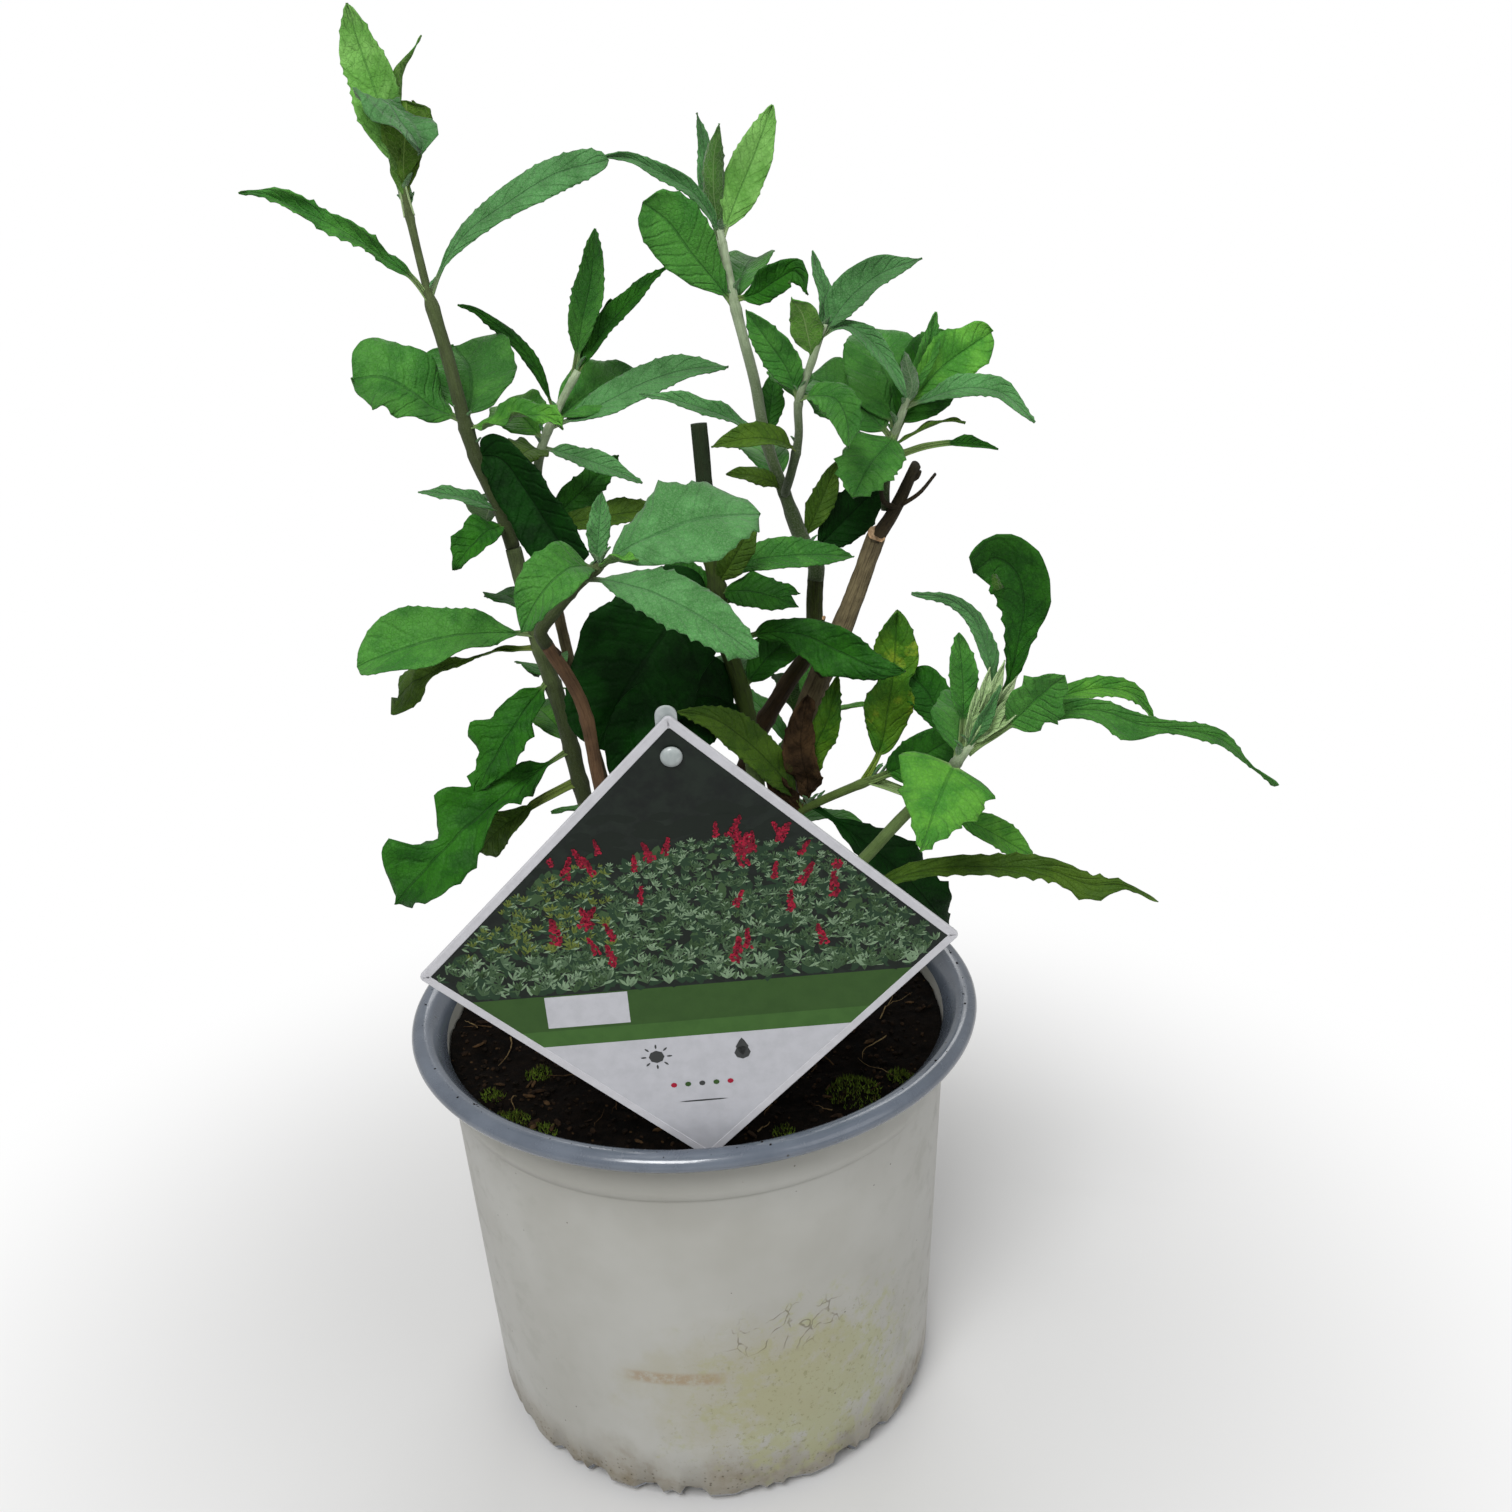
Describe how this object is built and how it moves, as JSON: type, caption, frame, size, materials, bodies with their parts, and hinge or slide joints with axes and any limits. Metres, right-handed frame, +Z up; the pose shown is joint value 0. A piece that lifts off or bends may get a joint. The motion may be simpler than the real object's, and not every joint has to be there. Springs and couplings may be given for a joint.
{
  "type": "potted butterfly bush",
  "caption": "Young butterfly bush with bare woody stems and long pointed leaves, growing in a round nursery pot with a square plant label on a stake.",
  "frame": {"origin": "middle of the pot's flat underside, where it stands", "axes": "+Z up along the pot's axis, -Y towards the front where the label stands, +X to the right as seen from the front"},
  "size_m": [0.2792, 0.1964, 0.4552],
  "materials": {
    "pot_plastic": "off-white satin plastic with a blue-grey lip and inside",
    "soil": "dark moist peat with bark",
    "label_plastic": "satin printed card in plastic",
    "label_clear": "milky plastic",
    "bark": "thin brown bark",
    "leafy_shoot": "green leaves with pale felt below"
  },
  "bodies": {
    "root": {"pot": "pot_plastic", "soil": "soil", "label_plate": "label_plastic", "label_stake": "label_clear", "label_rivet": "label_clear", "left_stem": "bark", "front_left_stem": "bark", "back_left_stem": "bark", "centre_stem": "bark", "tall_stem": "bark", "cut_stem": "bark", "cut_branch": "bark", "dead_twig": "bark", "front_right_stem": "bark", "left_shoot_low": "leafy_shoot", "left_shoot_top": "leafy_shoot", "front_left_shoot": "leafy_shoot", "back_left_shoot": "leafy_shoot", "centre_shoot": "leafy_shoot", "tall_shoot": "leafy_shoot", "right_back_shoot": "leafy_shoot", "front_right_shoot": "leafy_shoot", "right_low_shoot": "leafy_shoot", "low_right_shoot": "leafy_shoot", "back_shoot": "leafy_shoot", "back_right_shoot": "leafy_shoot"}
  },
  "joints": []
}
